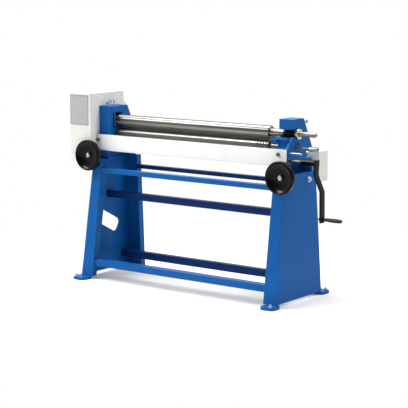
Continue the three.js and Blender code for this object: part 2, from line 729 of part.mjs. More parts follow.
addPiece('drive_shaft', driveShaft(), 'steel');
addPiece('drive_pinion', gear(pinionTeeth, pinionMeshRadius, toShaft + Math.PI, driveGearX.x0,
  driveGearX.x1, shaftY, shaftZ, pinionSeatRadius + clearance), 'darkSteel');
addPiece('crank_arm', crankArm(), 'darkSteel');
addPiece('crank_grip', crankGrip(), 'black');
addPiece('crank_grip_nut', rod('x', [0, shaftY, armEndZ], arm.farX - 18, arm.farX - 12 - clearance, 9, 6), 'steel');
for (const [name, side] of sides) {
  const x0 = uprightInnerX + 0.2;
  const bush = ring(side * (side > 0 ? x0 : uprightOuterX - 0.2), side * (side > 0 ? uprightOuterX - 0.2 : x0),
    shaftY, shaftZ, shaftHole - clearance, shaftDiameter / 2, 24);
  addPiece(`${name}_shaft_bush`, bush, 'bronze');
}

// Gear cover

const coverWall = 3;
const coverCornerRadius = 12;
const coverShoulderZ = coverTopZ - 54;
const coverSlopeY = 24;
const coverSlopeZ = 21;
const adjusterBox = { x1: 672, y0: -155, y1: -66, half: 21.5 };
const coverScrewY = -6;
const coverScrewZ = coverTopZ - 62;

function coverBlock(wall, rightX) {
  const plan = [];
  const radius = coverCornerRadius - wall;
  const centreX = coverLeftX + coverCornerRadius;
  const centreY = coverFrontY + coverCornerRadius;
  plan.push([rightX, coverFrontY + wall], [rightX, coverRearY + coverSlopeY - wall],
    [coverLeftX + wall, coverRearY + coverSlopeY - wall]);
  for (let step = 0; step <= 6; step += 1) {
    const angle = Math.PI + step * Math.PI / 12;
    plan.push([centreX + radius * Math.cos(angle), centreY + radius * Math.sin(angle)]);
  }
  const side = [
    [coverFrontY + wall, coverBottomZ + wall],
    [coverRearY + coverSlopeY - wall, coverBottomZ + wall],
    [coverRearY + coverSlopeY - wall, coverShoulderZ - coverSlopeZ],
    [coverRearY - wall, coverShoulderZ - 0.5 * wall],
    [coverRearY - wall, coverTopZ - wall],
    [coverFrontY + wall, coverTopZ - wall],
  ];
  return prism('z', plan, coverBottomZ + wall, coverTopZ - wall)
    .intersect(prism('x', side, coverLeftX - 1, rightX + 1));
}

const adjusterNotch = box(
  -adjusterBox.x1 - 2, coverRightX + 1, coverFrontY - 1, adjusterBox.y1 + 2,
  leftWheelZ - adjusterBox.half - 2, leftWheelZ + adjusterBox.half + 2,
);

function gearCover() {
  return cut(coverBlock(0, coverRightX), coverBlock(coverWall, coverRightX + 5), adjusterNotch);
}

function coverBack() {
  const plateX = coverRightX - coverWall;
  const slab = coverBlock(coverWall + clearance, coverRightX)
    .intersect(box(plateX, coverRightX, coverFrontY, coverRearY + coverSlopeY, coverBottomZ, coverTopZ));
  const wallX = [plateX - 1, coverRightX + 1];
  return cut(
    slab,
    box(...wallX, -rollRadius - 5, rollRadius + 20, lowerRollZ - rollRadius, upperRollZ + rollRadius),
    rod('x', [0, shaftY, shaftZ], ...wallX, shaftDiameter / 2 + 3, 24),
    adjusterNotch,
  );
}

const labelPlate = { x0: -803, x1: -668, z0: 875, z1: 1046, thickness: 1.2 };

function coverLabel() {
  const { x0, x1, z0, z1, thickness } = labelPlate;
  const rear = coverFrontY - 0.2;
  const edge = 6;
  const insetX = coverLeftX + coverCornerRadius + 1;
  const field = box(Math.max(x0, insetX), x1, rear - thickness, rear, z0, z1);
  return cut(field, box(Math.max(x0, insetX) + edge, x1 - edge, rear - thickness - 1, rear - thickness / 2,
    z0 + edge, z1 - edge));
}

// Front panel and its bolts

const panelSheet = 4;
const lipDrop = 16;
const lipBack = 6.4;

function frontPanel() {
  const back = panelFrontY + panelSheet;
  const section = [
    [panelFrontY, panelTopZ], [panelFrontY, panelBottomZ],
    [panelFrontY + lipBack, panelBottomZ - lipDrop], [panelFrontY + lipBack + 2.6, panelBottomZ - lipDrop + 3],
    [back, panelBottomZ + 2], [back, panelTopZ],
  ];
  const corner = prism('y', [
    [panelTopZ + 1, panelLeftX - 1], [panelTopZ + 1, panelLeftX + 3], [panelTopZ - 33, panelLeftX - 1],
  ], panelFrontY - 5, back + 5);
  const foot = prism('y', [
    [panelBottomZ - 30, panelRightX - 14], [panelBottomZ - 30, panelRightX + 1],
    [panelBottomZ + 8, panelRightX + 1],
  ], panelFrontY - 5, panelFrontY + 30);
  const holes = Object.values(panelBolts).map(([x, z]) => rod('y', [x, 0, z], panelFrontY - 5, back + 5, 6.5, 16));
  return cut(prism('x', section, panelLeftX, panelRightX), corner, foot, ...holes);
}

function panelBolt([x, z]) {
  return join(
    rod('y', [x, 0, z], panelFrontY - 9, panelFrontY - clearance, 11.5, 6),
    rod('y', [x, 0, z], panelFrontY - 4, uprightLowFrontY + uprightWall + 6, panelBoltRadius, 16),
  );
}

// Front handwheels and their closed boxes

const wheelThickness = 29;
const hubRadius = 19;
const hubBoltRadius = 13;
const wheelShaftRadius = 5;

function handwheel(side, z) {
  const centre = [side * wheelX, 0, z];
  const front = wheelFrontY;
  const disc = turned('y', centre, [
    [front + 21, hubRadius - 2], [front + 21, 0.3 * wheelRadius], [front + 17, 0.66 * wheelRadius],
    [front + 5, wheelRadius - 9], [front, wheelRadius - 6], [front, wheelRadius - 3],
    [front + 3, wheelRadius], [front + 25, wheelRadius], [front + 28, wheelRadius - 3],
    [front + 28, wheelRadius - 10], [front + 26, hubRadius + 10], [front + wheelThickness, hubRadius + 3],
  ], 32);
  const hubFace = rod('y', centre, front + 16, front + 24, hubRadius, 28);
  const handleHole = rod('y', [side * wheelX + 40, 0, z + 52], front - 5, front + 30, 5, 16);
  const hole = bore('y', centre, front - 5, front + 40, wheelShaftRadius, 20);
  return cut(join(disc, hubFace), handleHole, hole);
}

function wheelShaft(side, z) {
  const centre = [side * wheelX, 0, z];
  return join(
    rod('y', centre, wheelFrontY + 10, adjusterBox.y1 - 4, wheelShaftRadius, 20),
    rod('y', centre, wheelFrontY + 8, wheelFrontY + 16 - clearance, hubBoltRadius, 20),
  );
}

function wheelBox(side, z) {
  const { x1, y0, y1, half } = adjusterBox;
  const besideLeg = z - half < legTopZ;
  const x0 = (besideLeg ? webOuterX(z - half) : uprightOuterX) + clearance;
  const block = box(x0, x1, y0, y1, z - half, z + half);
  const hole = bore('y', [wheelX, 0, z], y0 - 1, y1 - 4 + clearance, wheelShaftRadius, 20);
  return onSide(side, cut(block, hole));
}

// Small fittings

const wingScrewX = -620;
const wingScrewRadius = 7;

function wingScrew() {
  const centre = [wingScrewX, 0, 0];
  const base = uprightTopZ + clearance;
  const stem = turned('z', centre, [
    [base, 10], [base + 7, 10], [base + 9, 7.5], [base + 16, 6.5], [base + 20, 4],
  ], 24);
  const wing = (way) => {
    const points = [[base + 3, 0], [base + 30, way * 10], [base + 33, way * 14], [base + 30, way * 19],
      [base + 20, way * 17], [base + 8, way * 8]];
    const list = points.map(([z, dx]) => [z, wingScrewX + dx]);
    return prism('y', way > 0 ? list : list.slice().reverse(), -2.5, 2.5);
  };
  return join(stem, wing(1), wing(-1));
}

const pinReach = 76;

function lockPin() {
  const centre = [0, lockPinY, lockPinZ];
  return turned('x', centre, [
    [uprightOuterX - 40, lockPinRadius], [uprightOuterX + pinReach - 3, lockPinRadius],
    [uprightOuterX + pinReach, lockPinRadius - 2.5],
  ], 20);
}

function rearTopBolt() {
  const centre = [topBolt.x, 0, topBolt.z];
  return join(
    rod('y', centre, topBolt.y - 20, topBolt.endY, topBolt.radius, 16),
    rod('y', centre, topBolt.endY - 16, topBolt.endY - 4, 10, 6),
  );
}

const legBolt = { y: 112, z: 645, washer: 17, head: 12 };

function sideBolt() {
  const centre = [0, legBolt.y, legBolt.z];
  const faceX = webOuterX(legBolt.z - legBolt.washer) + clearance;
  return join(
    rod('x', centre, faceX, faceX + 4, legBolt.washer, 20),
    rod('x', centre, faceX + 3, faceX + 13, legBolt.head, 6),
  );
}

function guardBox() {
  const outer = box(guard.x0, guard.x1, guard.y0, guard.y1, guard.z0, guard.z1);
  const inner = box(guard.x0 + guard.wall, guard.x1 - guard.wall, guard.y0 + guard.wall,
    guard.y1 - guard.wall, guard.z0 - 1, guard.z1 - guard.wall);
  return cut(outer, inner);
}

const guardBottomZ = legTopZ - 62;
const guard = {
  x0: 580, x1: 668, y0: legRearY(guardBottomZ) + clearance, y1: 280, z0: guardBottomZ, z1: 788, wall: 2.5,
};

addPiece('gear_cover', gearCover(), 'paleGrey');
addPiece('gear_cover_back', coverBack(), 'paleGrey');
addPiece('cover_plate', coverLabel(), 'label');
addPiece('cover_screw', join(
  rod('x', [0, coverScrewY, coverScrewZ], coverRightX + clearance, coverRightX + 2, 9, 20),
  rod('x', [0, coverScrewY, coverScrewZ], coverRightX + 1, coverRightX + 8, 7, 6),
), 'steel');
addPiece('front_panel', frontPanel(), 'white');
addPiece('left_panel_bolt', panelBolt(panelBolts.left), 'steel');
addPiece('right_panel_bolt', panelBolt(panelBolts.right), 'steel');
const wheelHeights = { left: leftWheelZ, right: rightWheelZ };
for (const [name, side] of sides) {
  addPiece(`${name}_handwheel`, handwheel(side, wheelHeights[name]), 'black');
  addPiece(`${name}_handwheel_shaft`, wheelShaft(side, wheelHeights[name]), 'steel');
  addPiece(`${name}_adjuster_box`, wheelBox(side, wheelHeights[name]), 'black');
}
addPiece('wing_screw', wingScrew(), 'brightSteel');
addPiece('lock_pin', lockPin(), 'steel');
addPiece('rear_guard', guardBox(), 'paleGrey');
addPiece('rear_top_bolt', rearTopBolt(), 'steel');
addPiece('leg_side_bolt', sideBolt(), 'steel');

// The origin is on the floor below the middle of the machine's box.
const middleX = (coverLeftX + gripEndX) / 2;
machine.position.set(-middleX, 0, 0);
const shifted = new THREE.Group();
shifted.add(machine);

export default shifted;
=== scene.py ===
# Looks of the slip roll machine: finishes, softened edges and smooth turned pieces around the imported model.
import json
import math

import bpy
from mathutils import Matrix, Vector


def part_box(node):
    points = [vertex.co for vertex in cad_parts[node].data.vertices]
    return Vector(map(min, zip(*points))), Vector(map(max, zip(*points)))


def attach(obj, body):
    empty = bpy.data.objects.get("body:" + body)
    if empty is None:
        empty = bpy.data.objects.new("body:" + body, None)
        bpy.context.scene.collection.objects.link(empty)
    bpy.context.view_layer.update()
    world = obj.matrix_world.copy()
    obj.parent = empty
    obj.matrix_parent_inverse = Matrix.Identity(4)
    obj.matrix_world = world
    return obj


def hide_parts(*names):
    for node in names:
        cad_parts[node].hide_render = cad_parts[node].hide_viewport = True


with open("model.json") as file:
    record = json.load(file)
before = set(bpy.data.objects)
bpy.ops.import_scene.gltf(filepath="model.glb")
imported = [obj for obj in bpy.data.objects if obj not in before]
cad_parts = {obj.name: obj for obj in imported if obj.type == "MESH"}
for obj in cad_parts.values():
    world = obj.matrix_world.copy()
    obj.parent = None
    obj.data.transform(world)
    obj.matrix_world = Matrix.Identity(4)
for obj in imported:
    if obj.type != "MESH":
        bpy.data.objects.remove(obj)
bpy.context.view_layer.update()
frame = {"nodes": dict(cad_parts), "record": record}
nodes = frame["nodes"]
record = frame["record"]
slot_of = {part["node"]: part["material_slot"] for part in record["subparts"]}
body_of_node = {node: body for body, names in record["behaviour"]["bodies"].items() for node in names}

MM = 0.001


def low(node):
    return Vector(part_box(node)[0])


def high(node):
    return Vector(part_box(node)[1])


def middle(node):
    return (low(node) + high(node)) / 2


# Camera, at the photograph's place
CAMERA_PLACE = Vector((4.7121, -6.3822, 1.7276))
CAMERA_AIM = Vector((-0.58994, 0.79215, -0.15640))
CAMERA_LENS = 127.9
CAMERA_SENSOR = 36
CAMERA_REACH = 100


def add_camera():
    lens = bpy.data.cameras.new("camera")
    lens.lens = CAMERA_LENS
    lens.sensor_width = CAMERA_SENSOR
    lens.clip_end = CAMERA_REACH
    camera = bpy.data.objects.new("camera", lens)
    camera.location = CAMERA_PLACE
    camera.rotation_euler = CAMERA_AIM.to_track_quat("-Z", "Y").to_euler()
    bpy.context.scene.collection.objects.link(camera)
    bpy.context.scene.camera = camera


# Node helpers

NOISE_ROUGHNESS = 0.55


def new_material(name):
    material = bpy.data.materials.new(name)
    material.use_nodes = True
    material.node_tree.nodes.clear()
    return material


class Tree:
    """A small hand for placing nodes and links in one node tree."""

    def __init__(self, tree):
        self.tree = tree

    def add(self, kind, **values):
        node = self.tree.nodes.new(kind)
        for name, value in values.items():
            setattr(node, name, value)
        return node

    def link(self, source, target):
        self.tree.links.new(source, target)

    def maths(self, operation, first, second):
        node = self.add("ShaderNodeMath", operation=operation)
        for socket, value in zip(node.inputs, (first, second)):
            if isinstance(value, (int, float)):
                socket.default_value = value
            else:
                self.link(value, socket)
        return node.outputs[0]

    def noise(self, place, scale, detail):
        node = self.add("ShaderNodeTexNoise")
        node.inputs["Scale"].default_value = scale
        node.inputs["Detail"].default_value = detail
        node.inputs["Roughness"].default_value = NOISE_ROUGHNESS
        self.link(place, node.inputs["Vector"])
        return node.outputs["Fac"]

    def spread(self, value, low_from, high_from, low_to, high_to):
        """Stretches the values from one range over another."""
        node = self.add("ShaderNodeMapRange")
        numbers = (low_from, high_from, low_to, high_to)
        for socket, number in zip(list(node.inputs)[1:5], numbers):
            socket.default_value = number
        self.link(value, node.inputs[0])
        return node.outputs[0]

    def object_place(self):
        return self.add("ShaderNodeTexCoord").outputs["Object"]


def group_of(name, inputs, outputs):
    group = bpy.data.node_groups.new(name, "ShaderNodeTree")
    for label, kind in inputs:
        group.interface.new_socket(label, in_out="INPUT", socket_type=kind)
    for label, kind in outputs:
        group.interface.new_socket(label, in_out="OUTPUT", socket_type=kind)
    return group


# Noises of the finishes, as scale and detail
CLOUDS = (5.0, 3.0)
FINE_GRAIN = (60.0, 5.0)
ORANGE_PEEL = (420.0, 2.0)
FADED_PATCHES = (2.2, 2.0)
TURNED_LINES = (1.0, 3.0)
STAINS = (9.0, 4.0)

# What the noises are spread to: two values of the noise, and what they become
CLOUD_SHADES = (0.3, 0.7, 0.94, 1.05)
LINE_SHADES = (0.3, 0.7, 0.95, 1.04)
BOTH_WAYS = (0.3, 0.7, -1.0, 1.0)
PATCH_SHARES = (0.4, 0.75, 0.0, 1.0)
STAIN_SHARES = (0.45, 0.75, 0.0, 1.0)

FILM_OUTPUTS = (
    ("Colour", "NodeSocketColor"),
    ("Roughness", "NodeSocketFloat"),
    ("Height", "NodeSocketFloat"),
)


def enamel_film_group():
    """Sprayed enamel: slight cloudiness, orange peel and a few faded patches."""
    group = group_of("enamel_film", (
        ("Colour", "NodeSocketColor"),
        ("Faded", "NodeSocketColor"),
        ("Gloss Spread", "NodeSocketFloat"),
        ("Base Roughness", "NodeSocketFloat"),
        ("Fading", "NodeSocketFloat"),
    ), FILM_OUTPUTS)
    tree = Tree(group)
    inlet = tree.add("NodeGroupInput")
    outlet = tree.add("NodeGroupOutput")
    place = tree.object_place()
    fine = tree.noise(place, *FINE_GRAIN)
    patchy = tree.spread(tree.noise(place, *FADED_PATCHES), *PATCH_SHARES)
    faded = tree.maths("MULTIPLY", patchy, inlet.outputs["Fading"])
    shade = tree.spread(tree.noise(place, *CLOUDS), *CLOUD_SHADES)
    shaded = tree.add("ShaderNodeMix", data_type="RGBA", blend_type="MULTIPLY")
    shaded.inputs["Factor"].default_value = 1.0
    tree.link(inlet.outputs["Colour"], shaded.inputs["A"])
    tree.link(shade, shaded.inputs["B"])
    mixed = tree.add("ShaderNodeMix", data_type="RGBA")
    tree.link(faded, mixed.inputs["Factor"])
    tree.link(shaded.outputs["Result"], mixed.inputs["A"])
    tree.link(inlet.outputs["Faded"], mixed.inputs["B"])
    tree.link(mixed.outputs["Result"], outlet.inputs["Colour"])
    gloss = tree.maths("MULTIPLY", tree.spread(fine, *BOTH_WAYS), inlet.outputs["Gloss Spread"])
    tree.link(tree.maths("ADD", inlet.outputs["Base Roughness"], gloss), outlet.inputs["Roughness"])
    tree.link(tree.noise(place, *ORANGE_PEEL), outlet.inputs["Height"])
    return group


def ground_metal_group():
    """Turned or ground steel: fine lines along one direction, faint stains and a varying polish."""
    group = group_of("ground_metal", (
        ("Colour", "NodeSocketColor"),
        ("Stretch", "NodeSocketVector"),
        ("Base Roughness", "NodeSocketFloat"),
        ("Polish Spread", "NodeSocketFloat"),
        ("Stain", "NodeSocketFloat"),
    ), FILM_OUTPUTS)
    tree = Tree(group)
    inlet = tree.add("NodeGroupInput")
    outlet = tree.add("NodeGroupOutput")
    place = tree.object_place()
    scaled = tree.add("ShaderNodeVectorMath", operation="MULTIPLY")
    tree.link(place, scaled.inputs[0])
    tree.link(inlet.outputs["Stretch"], scaled.inputs[1])
    lines = tree.noise(scaled.outputs[0], *TURNED_LINES)
    patches = tree.noise(place, *STAINS)
    mixed = tree.add("ShaderNodeMix", data_type="RGBA", blend_type="MULTIPLY")
    mixed.inputs["Factor"].default_value = 1.0
    stain = tree.maths("MULTIPLY", tree.spread(patches, *STAIN_SHARES), inlet.outputs["Stain"])
    shade = tree.maths("SUBTRACT", tree.spread(lines, *LINE_SHADES), stain)
    tree.link(inlet.outputs["Colour"], mixed.inputs["A"])
    tree.link(shade, mixed.inputs["B"])
    tree.link(mixed.outputs["Result"], outlet.inputs["Colour"])
    polish = tree.maths("MULTIPLY", tree.spread(lines, *BOTH_WAYS), inlet.outputs["Polish Spread"])
    tree.link(tree.maths("ADD", inlet.outputs["Base Roughness"], polish), outlet.inputs["Roughness"])
    tree.link(lines, outlet.inputs["Height"])
    return group


RELIEF_DEPTH = 0.0004
COAT_ROUGHNESS = 0.12
METAL_SPECULAR = 0.5
PAINT_SPECULAR = 0.06
PAINT_GLOSS_SPREAD = 0.06


def finish(name, group, values, metallic, bump, coat, specular):
    """A material on one of the two films, with the constants on the shader's own sockets."""
    material = new_material(name)
    tree = Tree(material.node_tree)
    output = tree.add("ShaderNodeOutputMaterial")
    shader = tree.add("ShaderNodeBsdfPrincipled")
    film = tree.add("ShaderNodeGroup", node_tree=group)
    for label, value in values.items():
        film.inputs[label].default_value = value
    relief = tree.add("ShaderNodeBump")
    relief.inputs["Strength"].default_value = bump
    relief.inputs["Distance"].default_value = RELIEF_DEPTH
    tree.link(film.outputs["Colour"], shader.inputs["Base Color"])
    tree.link(film.outputs["Roughness"], shader.inputs["Roughness"])
    tree.link(film.outputs["Height"], relief.inputs["Height"])
    tree.link(relief.outputs["Normal"], shader.inputs["Normal"])
    shader.inputs["Metallic"].default_value = metallic
    shader.inputs["Coat Weight"].default_value = coat
    shader.inputs["Coat Roughness"].default_value = COAT_ROUGHNESS
    shader.inputs["Specular IOR Level"].default_value = specular
    tree.link(shader.outputs["BSDF"], output.inputs["Surface"])
    return material


def linear(red, green, blue):
    """A screen colour of numbers up to 255 as the linear colour that shaders take."""
    def channel(value):
        part = value / 255
        return part / 12.92 if part <= 0.04045 else ((part + 0.055) / 1.055) ** 2.4

    return (channel(red), channel(green), channel(blue), 1.0)


enamel = enamel_film_group()
metal = ground_metal_group()

# How finely the metal's lines follow each other along x, y and z
ALONG_X = (300, 10, 10)
EVEN = (160, 160, 160)
TURNED_POLISH = 0.01
QUARTER_TURN = 0.25


def enamel_finish(name, colour, faded, rough=0.35, fading=0.2, coat=0.05, bump=0.08):
    return finish(name, enamel, {
        "Colour": linear(*colour), "Faded": linear(*faded), "Base Roughness": rough,
        "Gloss Spread": PAINT_GLOSS_SPREAD, "Fading": fading,
    }, 0.0, bump, coat, PAINT_SPECULAR)


def metal_finish(name, colour, rough, stretch=EVEN, stain=0.12, bump=0.15, polish=0.06):
    return finish(name, metal, {
        "Colour": linear(*colour), "Base Roughness": rough, "Polish Spread": polish,
        "Stretch": stretch, "Stain": stain,
    }, 1.0, bump, 0.0, METAL_SPECULAR)


def shader_of(material):
    return next(node for node in material.node_tree.nodes if node.bl_idname == "ShaderNodeBsdfPrincipled")


def framed_finish(name, node, colour, frame_colour, width):
    """A bare plate with a darker band along its border, as wide as said in millimetres."""
    material = enamel_finish(name, colour, colour, rough=0.4, fading=0.0, coat=0.0)
    tree = Tree(material.node_tree)
    shader = shader_of(material)
    place = tree.add("ShaderNodeSeparateXYZ")
    tree.link(tree.object_place(), place.inputs[0])
    reach = (high(node) - low(node)) / 2
    inside = []
    for axis, letter in ((0, "X"), (2, "Z")):
        offset = tree.maths("SUBTRACT", place.outputs[letter], middle(node)[axis])
        distance = tree.maths("ABSOLUTE", offset, 0.0)
        inside.append(tree.maths("LESS_THAN", distance, reach[axis] - width * MM))
    banded = tree.add("ShaderNodeMix", data_type="RGBA")
    banded.inputs["A"].default_value = linear(*frame_colour)
    tree.link(tree.maths("MULTIPLY", *inside), banded.inputs["Factor"])
    tree.link(shader.inputs["Base Color"].links[0].from_socket, banded.inputs["B"])
    tree.link(banded.outputs["Result"], shader.inputs["Base Color"])
    return material


def turned_finish(name, colour, rough, stain, bump):
    """Turned along x: the marks run round the piece and draw the gloss out along it."""
    material = metal_finish(name, colour, rough, ALONG_X, stain, bump, TURNED_POLISH)
    shader = shader_of(material)
    shader.inputs["Anisotropic"].default_value = 1.0
    shader.inputs["Anisotropic Rotation"].default_value = QUARTER_TURN
    tree = Tree(material.node_tree)
    tangent = tree.add("ShaderNodeTangent", direction_type="RADIAL", axis="X")
    tree.link(tangent.outputs[0], shader.inputs["Tangent"])
    return material


finishes = {
    "blue_paint": enamel_finish("blue_paint", (21, 89, 158), (26, 95, 163), rough=0.34, coat=0.03),
    # navy_paint is the blue paint darkened: on the middle and rear bars it is painted shade, since those bars
    # are the same paint as the two front bars
    "navy_paint": enamel_finish("navy_paint", (12, 44, 98), (24, 52, 106), rough=0.4),
    "white_panel": enamel_finish("white_panel", (240, 241, 240), (234, 235, 234)),
    "pale_grey": enamel_finish("pale_grey", (224, 224, 218), (218, 218, 212), rough=0.45),
    "label_plate": framed_finish("label_plate", "cover_plate", (174, 176, 175), (136, 137, 136), 4.0),
    "black_paint": enamel_finish("black_paint", (7, 7, 7), (16, 16, 15), rough=0.26, coat=0.2),
    "black_plastic": enamel_finish("black_plastic", (38, 38, 36), (46, 46, 44), rough=0.24, coat=0.3,
                                   bump=0.05),
    "ground_steel": turned_finish("ground_steel", (154, 153, 147), rough=0.34, stain=0.03, bump=0.001),
    "bright_steel": metal_finish("bright_steel", (186, 188, 187), rough=0.42, stain=0.08, bump=0.03),
    "dark_steel": metal_finish("dark_steel", (116, 118, 110), rough=0.4, stain=0.25),
    "zinc_plate": metal_finish("zinc_plate", (212, 207, 184), rough=0.34),
    "bronze": metal_finish("bronze", (176, 131, 72), rough=0.35),
}

# Modelling helpers

SEAM = 0.00002
SAME_WIDTH = 1e-9
FLAT_ANGLE = math.radians(1.0)
BEVEL_ANGLE = math.radians(32)
SMOOTH_ANGLE = math.radians(35)
TURN_FOR = {"x": (0, math.pi / 2, 0), "y": (-math.pi / 2, 0, 0), "z": (0, 0, 0)}
ALONG = {"x": Vector((1, 0, 0)), "y": Vector((0, 1, 0)), "z": Vector((0, 0, 1))}


def only(piece):
    bpy.ops.object.select_all(action="DESELECT")
    piece.select_set(True)
    bpy.context.view_layer.objects.active = piece


def settle(piece, name, node, slot=None):
    """Names a finished piece, gives it its finish and puts it in the place of its node."""
    only(piece)
    bpy.ops.object.transform_apply(location=True, rotation=True, scale=True)
    bpy.ops.object.shade_smooth_by_angle(angle=SMOOTH_ANGLE)
    piece.name = name
    piece.data.name = name
    chosen = slot or slot_of[node]
    piece.data.materials.clear()
    piece.data.materials.append(finishes[chosen])
    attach(piece, body_of_node[node])
    return piece


def softened(node, width, steps=2, slot=None):
    """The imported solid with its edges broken, as folded sheet or machined blocks have them."""
    source = nodes[node]
    piece = source.copy()
    piece.data = source.data.copy()
    piece.parent = None
    bpy.context.scene.collection.objects.link(piece)
    only(piece)
    bpy.ops.object.mode_set(mode="EDIT")
    bpy.ops.mesh.select_all(action="SELECT")
    bpy.ops.mesh.remove_doubles(threshold=SEAM)
    bpy.ops.mesh.dissolve_limited(angle_limit=FLAT_ANGLE)
    bpy.ops.object.mode_set(mode="OBJECT")
    soft = piece.modifiers.new("soft_edges", "BEVEL")
    soft.width = width
    soft.segments = steps
    soft.limit_method = "ANGLE"
    soft.angle_limit = BEVEL_ANGLE
    soft.use_clamp_overlap = True
    bpy.ops.object.modifier_apply(modifier=soft.name)
    settle(piece, node + "_dressed", node, slot)
    flat = piece.modifiers.new("flat_faces", "WEIGHTED_NORMAL")
    flat.keep_sharp = True
    bpy.ops.object.modifier_apply(modifier=flat.name)
    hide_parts(node)


def beside_axis(centre, direction):
    """The centre without its own place along the axis."""
    return Vector([0 if direction[i] else centre[i] for i in range(3)])


def spun(name, node, axis, centre, profile, sides, closed=False, slot=None):
    """A turned piece: a circle extruded and resized from ring to ring.

    Each point of the profile is a place on the axis and a radius. A closed profile has a bore.
    """
    direction = ALONG[axis]
    start, radius = profile[0]
    flat = beside_axis(centre, direction)
    bpy.ops.object.select_all(action="DESELECT")
    bpy.ops.mesh.primitive_circle_add(vertices=sides, radius=radius, rotation=TURN_FOR[axis],
                                      location=flat + direction * start,
                                      fill_type="NOTHING" if closed else "NGON")
    piece = bpy.context.object
    bpy.ops.object.mode_set(mode="EDIT")
    bpy.ops.mesh.select_all(action="SELECT")
    before = (start, radius)
    for place, width in profile[1:] + (profile[:1] if closed else []):
        step = direction * (place - before[0])
        bpy.ops.mesh.extrude_region_move(TRANSFORM_OT_translate={"value": step})
        if abs(width - before[1]) > SAME_WIDTH:
            share = width / before[1]
            bpy.ops.transform.resize(value=(share, share, share), center_override=flat + direction * place)
        before = (place, width)
    bpy.ops.mesh.select_all(action="SELECT")
    if closed:
        bpy.ops.mesh.remove_doubles(threshold=SEAM)
    bpy.ops.mesh.normals_make_consistent(inside=False)
    bpy.ops.object.mode_set(mode="OBJECT")
    return settle(piece, name, node, slot)


# Sizes as drawn, in millimetres; ROLL and JOURNAL are radii.
# The model's x is the drawing's x less the middle of the machine's box.
DRAWING_MIDDLE = 79.5
ROLL = 35
JOURNAL = 20
TAIL_BORE = 8.9
COLLAR_BORE = 13.4
ROLL_LEFT = -563
ROLL_RIGHT = 487
REAR_ROLL_RIGHT = 563
JOURNAL_LEFT = -657.7
NECK_START = 572
NECK_END = 640.5
GROOVE_PLACES = (420, 438, 456, 474)
UPPER_ROLL_Z = 898
LOWER_ROLL_Z = 823
REAR_ROLL_Y = 82
REAR_ROLL_Z = 850
SHAFT_Y = -70
SHAFT_Z = 762
CRANK_RADIUS = 290
WHEEL_X = 659
WHEEL_FRONT_Y = -187
WHEEL_SHAFT_END_Y = -70
WHEEL_RADIUS = 88
WHEEL_Z = {"left": 706, "right": 684}
WHEEL_HOLE_PLACE = (40, 52)
WHEEL_HOLE_RADIUS = 5
HOLE_SIDES = 32
LOCK_PIN_Y = -72
LOCK_PIN_Z = 802


def across(points):
    """Profile points drawn along x, in metres in the model's frame."""
    return [((x - DRAWING_MIDDLE) * MM, radius * MM) for x, radius in points]


def metres(points):
    """Profile points drawn along y, in metres."""
    return [(place * MM, radius * MM) for place, radius in points]


def spot(x, y, z):
    """A drawn place, in metres in the model's frame."""
    return ((x - DRAWING_MIDDLE) * MM, y * MM, z * MM)


def drilled(piece, axis, centre, start, end, radius):
    """Cuts a round hole through a finished piece."""
    direction = ALONG[axis]
    bpy.ops.object.select_all(action="DESELECT")
    half_way = beside_axis(centre, direction) + direction * (start + end) / 2
    bpy.ops.mesh.primitive_cylinder_add(vertices=HOLE_SIDES, radius=radius, depth=end - start,
                                        rotation=TURN_FOR[axis], location=half_way)
    drill = bpy.context.object
    only(piece)
    hole = piece.modifiers.new("hole", "BOOLEAN")
    hole.object = drill
    hole.solver = "EXACT"
    bpy.ops.object.modifier_apply(modifier=hole.name)
    bpy.data.objects.remove(drill, do_unlink=True)
    bpy.ops.object.shade_smooth_by_angle(angle=SMOOTH_ANGLE)


# Floor, lamps and surroundings

WHITE = (1, 1, 1, 1)
FLOOR_GREY = (0.8, 0.8, 0.8, 1)
FLOOR_WIDTH = 60
FLOOR_GLOW = 0.14
LAMP_AIM = Vector((0, 0, 0.6))
ROOM_LIGHT = 0.45
DIM_SIDE = (0.45, -0.89, 0.0)

# Two distances from the machine's middle, and the share of white at each
FLOOR_FADE = (1.1, 2.2, 0.0, 1.0)

# Two shares of turning towards the dim side, and the mirrored light at each
DIM_FADE = (0.1, 0.75, 1.0, 0.08)


def seen_directly(tree, ray):
    return tree.maths("MAXIMUM", ray.outputs["Is Camera Ray"], ray.outputs["Is Transmission Ray"])


def add_floor():
    """Plain floor for its own light; where it is seen or mirrored, it fades from a shadowed grey to white."""
    bpy.ops.object.select_all(action="DESELECT")
    bpy.ops.mesh.primitive_plane_add(size=FLOOR_WIDTH, location=(0, 0, 0))
    floor = bpy.context.object
    floor.name = "floor"
    material = new_material("floor")
    tree = Tree(material.node_tree)
    output = tree.add("ShaderNodeOutputMaterial")
    plain = tree.add("ShaderNodeBsdfDiffuse")
    plain.inputs["Color"].default_value = FLOOR_GREY
    glow = tree.add("ShaderNodeEmission")
    glow.inputs["Color"].default_value = WHITE
    glow.inputs["Strength"].default_value = FLOOR_GLOW
    seen = tree.add("ShaderNodeAddShader")
    tree.link(plain.outputs[0], seen.inputs[0])
    tree.link(glow.outputs[0], seen.inputs[1])
    bright = tree.add("ShaderNodeEmission")
    bright.inputs["Color"].default_value = WHITE
    distance = tree.add("ShaderNodeVectorMath", operation="LENGTH")
    tree.link(tree.object_place(), distance.inputs[0])
    faded = tree.add("ShaderNodeMixShader")
    tree.link(tree.spread(distance.outputs["Value"], *FLOOR_FADE), faded.inputs[0])
    tree.link(seen.outputs[0], faded.inputs[1])
    tree.link(bright.outputs[0], faded.inputs[2])
    ray = tree.add("ShaderNodeLightPath")
    shown = tree.maths("MAXIMUM", seen_directly(tree, ray), ray.outputs["Is Glossy Ray"])
    mixed = tree.add("ShaderNodeMixShader")
    tree.link(shown, mixed.inputs[0])
    tree.link(plain.outputs[0], mixed.inputs[1])
    tree.link(faded.outputs[0], mixed.inputs[2])
    tree.link(mixed.outputs[0], output.inputs["Surface"])
    floor.data.materials.append(material)


